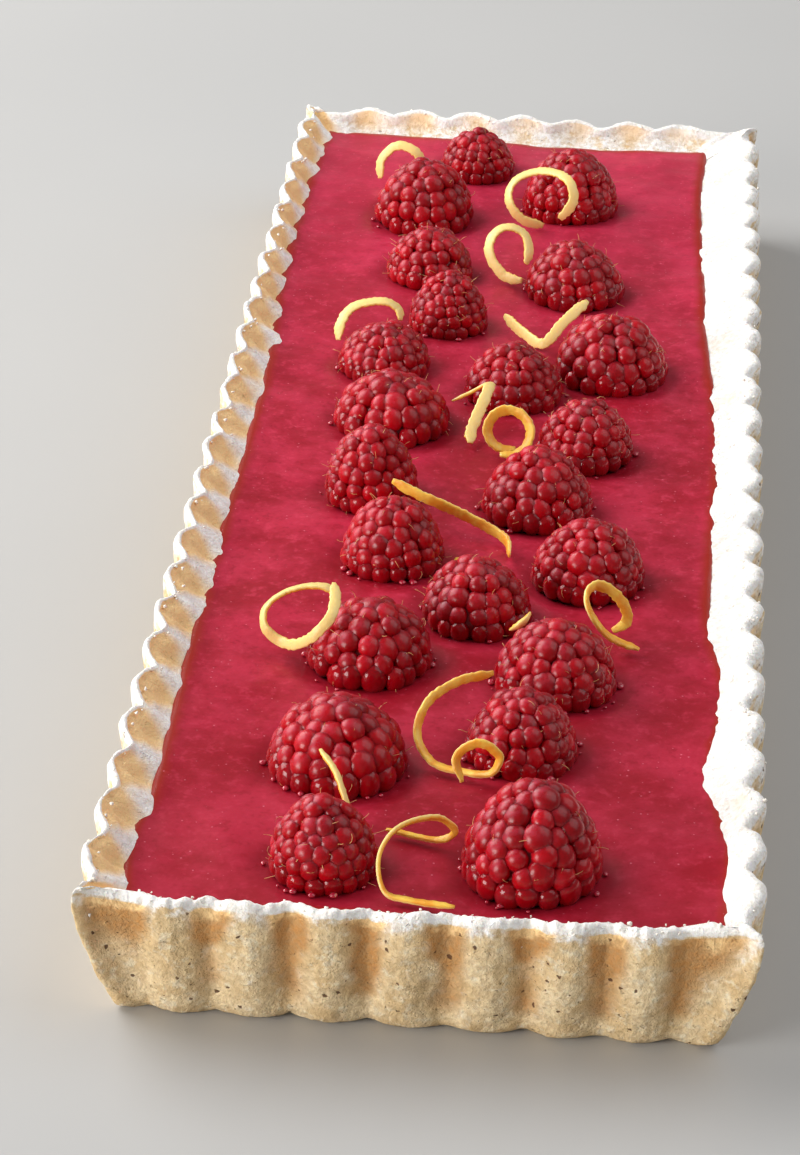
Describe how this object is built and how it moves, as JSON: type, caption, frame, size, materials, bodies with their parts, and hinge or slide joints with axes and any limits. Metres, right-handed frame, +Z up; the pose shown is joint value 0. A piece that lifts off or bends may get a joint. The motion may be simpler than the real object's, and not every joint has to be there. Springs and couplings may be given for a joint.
{
  "type": "raspberry tart",
  "caption": "Long rectangular tart: fluted shortcrust shell filled level with raspberry curd, topped with whole raspberries and curls of citrus zest.",
  "frame": {"origin": "middle of the underside", "axes": "+Y along the tart's length, away from the near end; +Z up; +X to the right seen from the near end"},
  "size_m": [0.108, 0.35, 0.037],
  "materials": {
    "crust": "dry crumbly baked shortcrust, golden in the grooves, specked",
    "filling": "smooth satin raspberry curd",
    "raspberry": "juicy drupelets with a soft bloom",
    "zest": "moist yellow citrus peel, paler inside"
  },
  "bodies": {
    "root": {"crust": "crust", "filling": "filling", "raspberry_01": "raspberry", "raspberry_02": "raspberry", "raspberry_03": "raspberry", "raspberry_04": "raspberry", "raspberry_05": "raspberry", "raspberry_06": "raspberry", "raspberry_07": "raspberry", "raspberry_08": "raspberry", "raspberry_09": "raspberry", "raspberry_10": "raspberry", "raspberry_11": "raspberry", "raspberry_12": "raspberry", "raspberry_13": "raspberry", "raspberry_14": "raspberry", "raspberry_15": "raspberry", "raspberry_16": "raspberry", "raspberry_17": "raspberry", "raspberry_18": "raspberry", "raspberry_19": "raspberry", "raspberry_20": "raspberry", "raspberry_21": "raspberry", "raspberry_22": "raspberry", "zest_01": "zest", "zest_02": "zest", "zest_03": "zest", "zest_04": "zest", "zest_05": "zest", "zest_06": "zest", "zest_07": "zest", "zest_08": "zest", "zest_09": "zest", "zest_10": "zest", "zest_11": "zest", "zest_12": "zest", "zest_13": "zest"}
  },
  "joints": []
}
